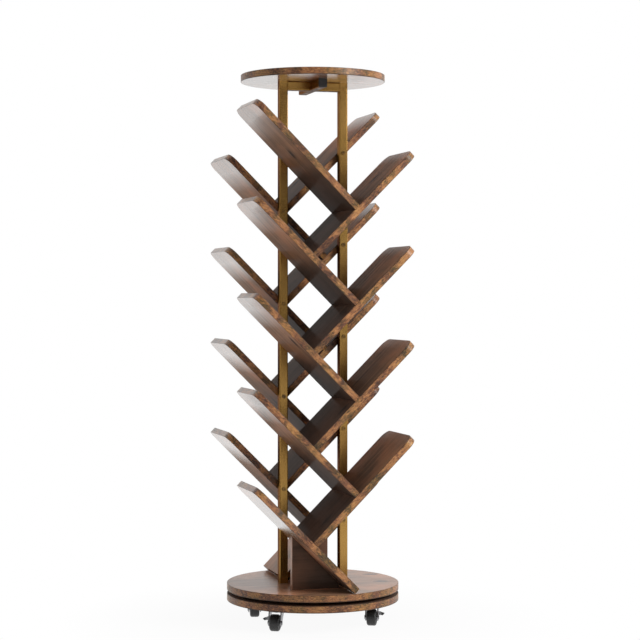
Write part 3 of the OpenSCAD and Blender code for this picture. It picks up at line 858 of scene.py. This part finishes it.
class BOOKCASE_OT_discs(bpy.types.Operator):
    """Make the base disc, the turning deck and the top disc"""

    bl_idname = "bookcase.discs"
    bl_label = "Discs"

    def execute(self, context):
        boards = context.scene.bookcase_boards
        materials = board_finish(context, "edge_rim")
        # Painted shade: the base disc's gloss of 0 paints its faces deep brown, in the gap under
        # the deck
        for number, (node, level) in enumerate(DISC_GLOSS_AND_SHADE.items()):
            low, high = np.array(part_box(node))
            piece = slab(f"{node}_board", disc_outline((high[0] - low[0]) / 2),
                         high[2] - low[2], boards.arris, level_place(high[2]), 1.0,
                         DISC_SHIFT * (number + 1), materials, even_gloss(level))
            carry(piece, "base" if node == "base_disc" else "tower", node)
        return {"FINISHED"}


class BOOKCASE_OT_panels(bpy.types.Operator):
    """Make the upright panels below the lowest shelves"""

    bl_idname = "bookcase.panels"
    bl_label = "Support panels"

    def execute(self, context):
        boards = context.scene.bookcase_boards
        for number, stack in enumerate(STACKS):
            node = f"panel_{stack}"
            low, high = np.array(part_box(node))
            wide, deep, tall = high - low
            # The upper side falls at 45 degrees, so it loses the width in height
            corner = np.array([[0.0, 0.0], [wide, 0.0], [wide, tall - wide], [0.0, tall]])
            start, side = (low, 1.0) if stack == "front" else (high, -1.0)
            # Painted shade: the panels' low gloss paints their faces deep brown, the shade under
            # the shelves
            piece = slab(f"support_board_{stack}", panel_outline(corner), deep, boards.arris,
                         upright_place(start, side, low[2]), 1.0, PANEL_SHIFT * (number + 1),
                         board_finish(context),
                         falling_gloss(wide, deep, boards.panel_share, boards.panel_edge))
            carry(piece, "tower", node)
        return {"FINISHED"}


class BOOKCASE_OT_frame(bpy.types.Operator):
    """Coat the tubes of the frame, cap the arms and bronze the bolts"""

    bl_idname = "bookcase.frame"
    bl_label = "Frame"

    def execute(self, context):
        metal = context.scene.bookcase_metal
        gold = finish("antique_gold", coated_metal, metal.gold, metal.gold_dark,
                      metallic=0.85, roughness=0.25, graze=metal.gold_graze)
        bronze = finish("bronzed_bolts", coated_metal, metal.bronze, metal.gold_dark,
                        metallic=0.9, roughness=0.28)
        dress(["upright_left", "upright_right", "crossbar", "arm_front", "arm_rear"], gold)
        dress(["frame_bolts", "top_disc_screws"], bronze)
        dress(["arm_caps"], plastic_finish(context))
        return {"FINISHED"}


class BOOKCASE_OT_hardware(bpy.types.Operator):
    """Plate the bearing, the caster mounts and the hidden screws"""

    bl_idname = "bookcase.hardware"
    bl_label = "Hardware"

    def execute(self, context):
        metal = context.scene.bookcase_metal
        black = finish("bearing_steel", coated_metal, metal.steel, metal.steel_dark,
                       metallic=1.0, roughness=0.5)
        dress(["bearing_lower", "bearing_upper"], black)
        dress(["bearing_balls", "bearing_lower_screws", "bearing_upper_screws", "caster_plates",
               "caster_plate_screws", "caster_pins", "upright_plugs", "upright_screws"],
              zinc_finish(context))
        return {"FINISHED"}


class BOOKCASE_OT_casters(bpy.types.Operator):
    """Make the caster wheels and finish the forks, axles and brake pedals"""

    bl_idname = "bookcase.casters"
    bl_label = "Casters"

    def execute(self, context):
        casters = context.scene.bookcase_casters
        rubber = finish("black_rubber", black_stuff, casters.rubber_dust, casters.rubber,
                        roughness=0.42, speck=1200.0)
        for number in CASTER_NUMBERS:
            node = f"wheel_{number}"
            joint = JOINTS[f"wheel_spin_{number}"]
            section = wheel_section(casters, node, joint["axis"])
            piece = lathe(f"tread_{number}", section, joint["pos_m"], joint["axis"],
                          casters.steps, rubber)
            carry(piece, f"roller_{number}", node)
            dress([f"fork_{number}", f"axle_{number}"], zinc_finish(context))
        dress([f"brake_{number}" for number in BRAKE_NUMBERS], plastic_finish(context))
        return {"FINISHED"}


# Stage

def aimed_lamp(name, place, target, size, watts):
    """A square area lamp that points at a target."""
    data = bpy.data.lights.new(name, "AREA")
    data.shape = "SQUARE"
    data.size = size
    data.energy = watts
    lamp = bpy.data.objects.new(name, data)
    bpy.context.scene.collection.objects.link(lamp)
    lamp.location = place
    lamp.rotation_euler = (target - place).to_track_quat("-Z", "Y").to_euler()


def seen_rays(tree, rays):
    """1 on rays that see a surface: straight, in a reflection or through glass."""
    seen = maths(tree, "MAXIMUM", rays.outputs["Is Camera Ray"], rays.outputs["Is Glossy Ray"])
    return maths(tree, "MAXIMUM", seen, rays.outputs["Is Transmission Ray"])


def floor_finish(stage):
    """Pale floor that looks white and keeps a share of the shadows near the axis."""
    material = bpy.data.materials.new("studio_floor")
    material.use_nodes = True
    tree = material.node_tree
    tree.nodes.clear()
    plain = put(tree, "ShaderNodeBsdfDiffuse", {"Color": stage.floor_tint}).outputs["BSDF"]
    glow = put(tree, "ShaderNodeEmission", {"Color": WHITE, "Strength": 1.0}).outputs["Emission"]
    where = put(tree, "ShaderNodeTexCoord").outputs["Object"]
    away = put(tree, "ShaderNodeVectorMath", {0: where}, operation="LENGTH").outputs["Value"]
    white = span(tree, away, (stage.near, stage.far), (stage.floor_white, 1.0))
    seen = seen_rays(tree, put(tree, "ShaderNodeLightPath"))
    whole = blended(tree, maths(tree, "MULTIPLY", seen, white), plain, glow)
    put(tree, "ShaderNodeOutputMaterial", {"Surface": whole})
    return material


def studio_sky(scene, stage):
    """Even light from all round, white where it is seen.

    Reflections see the white behind the bookcase, and the dimmer room behind the camera.
    """
    world = bpy.data.worlds.new("studio_sky")
    scene.world = world
    world.use_nodes = True
    tree = world.node_tree
    tree.nodes.clear()
    light, room, bright = (
        put(tree, "ShaderNodeBackground", {"Color": WHITE, "Strength": strength}).outputs[0]
        for strength in (stage.sky, stage.room, 1.0))
    way = put(tree, "ShaderNodeTexCoord").outputs["Generated"]
    depth = put(tree, "ShaderNodeSeparateXYZ", {"Vector": way}).outputs["Y"]
    rays = put(tree, "ShaderNodeLightPath")
    backdrop = span(tree, depth, (-0.5, 0.2))
    white = maths(tree, "MULTIPLY", seen_rays(tree, rays), backdrop)
    white = maths(tree, "MAXIMUM", white, rays.outputs["Is Camera Ray"])
    plain = blended(tree, rays.outputs["Is Glossy Ray"], light, room)
    put(tree, "ShaderNodeOutputWorld", {"Surface": blended(tree, white, plain, bright)})


class BOOKCASE_OT_stage(bpy.types.Operator):
    """Set the floor, the lamps, the sky and the camera"""

    bl_idname = "bookcase.stage"
    bl_label = "Stage"

    def execute(self, context):
        scene = context.scene
        stage = scene.bookcase_stage
        scene.view_settings.view_transform = "Standard"
        self.floor(stage)
        studio_sky(scene, stage)
        target = Vector((0.0, 0.0, stage.aim))
        aimed_lamp("key_lamp", stage.key_place, target, stage.lamp_size, stage.key)
        aimed_lamp("fill_lamp", stage.fill_place, target, stage.lamp_size, stage.fill)
        self.camera(scene, stage)
        return {"FINISHED"}

    def floor(self, stage):
        """A flat grid: x and y run evenly from side to side, z is 0."""
        line = np.linspace(-stage.floor / 2, stage.floor / 2, FLOOR_LINES)
        x, y = np.meshgrid(line, line)
        points = np.stack([x, y, np.zeros_like(x)], axis=-1).reshape(-1, 3)
        quads = grid_quads(FLOOR_LINES, FLOOR_LINES)
        piece = surface("studio_floor", points, quads.tolist(), points[quads.ravel(), :2],
                        np.zeros(len(quads), int), np.zeros(len(quads), bool),
                        [floor_finish(stage)])

    def camera(self, scene, stage):
        """A level camera that looks at the turning axis; the shift frames it as the photo."""
        data = bpy.data.cameras.new("camera")
        data.lens = stage.lens
        data.sensor_width = SENSOR_MM
        centre = IMAGE_PIXELS / 2
        data.shift_x = (centre - stage.axis_x) / IMAGE_PIXELS
        data.shift_y = (stage.horizon_y - centre) / IMAGE_PIXELS
        data.clip_end = VIEW_DEPTH
        camera = bpy.data.objects.new("camera", data)
        scene.collection.objects.link(camera)
        camera.location = (stage.distance * math.sin(stage.azimuth),
                           -stage.distance * math.cos(stage.azimuth), stage.height)
        camera.rotation_euler = (math.pi / 2, 0.0, stage.azimuth)
        scene.camera = camera


class BOOKCASE_PT_panel(bpy.types.Panel):
    """Lists the pieces of the bookcase and their settings"""

    bl_label = "Revolving bookcase"
    bl_idname = "BOOKCASE_PT_panel"
    bl_space_type = "VIEW_3D"
    bl_region_type = "UI"
    bl_category = "Bookcase"

    def draw(self, context):
        for operator in OPERATORS:
            self.layout.operator(operator.bl_idname)
        for key in SETTINGS:
            group = getattr(context.scene, key)
            column = self.layout.column()
            for name in group.__annotations__:
                column.prop(group, name)


SETTINGS = {"bookcase_boards": BookcaseBoards, "bookcase_metal": BookcaseMetal,
            "bookcase_casters": BookcaseCasters, "bookcase_stage": BookcaseStage}
OPERATORS = (BOOKCASE_OT_stage, BOOKCASE_OT_shelves, BOOKCASE_OT_discs, BOOKCASE_OT_panels,
             BOOKCASE_OT_frame, BOOKCASE_OT_hardware, BOOKCASE_OT_casters)


def register():
    """Registers the classes and hangs the settings on the scene."""
    for cls in (*SETTINGS.values(), *OPERATORS, BOOKCASE_PT_panel):
        bpy.utils.register_class(cls)
    for key, cls in SETTINGS.items():
        setattr(bpy.types.Scene, key, PointerProperty(type=cls))


def unregister():
    """Takes the settings and the classes away again."""
    for key in SETTINGS:
        delattr(bpy.types.Scene, key)
    for cls in (BOOKCASE_PT_panel, *reversed(OPERATORS), *reversed(SETTINGS.values())):
        bpy.utils.unregister_class(cls)


def main():
    """Makes the stage and every piece."""
    register()
    bpy.ops.bookcase.stage()
    bpy.ops.bookcase.shelves()
    bpy.ops.bookcase.discs()
    bpy.ops.bookcase.panels()
    bpy.ops.bookcase.frame()
    bpy.ops.bookcase.hardware()
    bpy.ops.bookcase.casters()


if __name__ == "__main__":
    main()
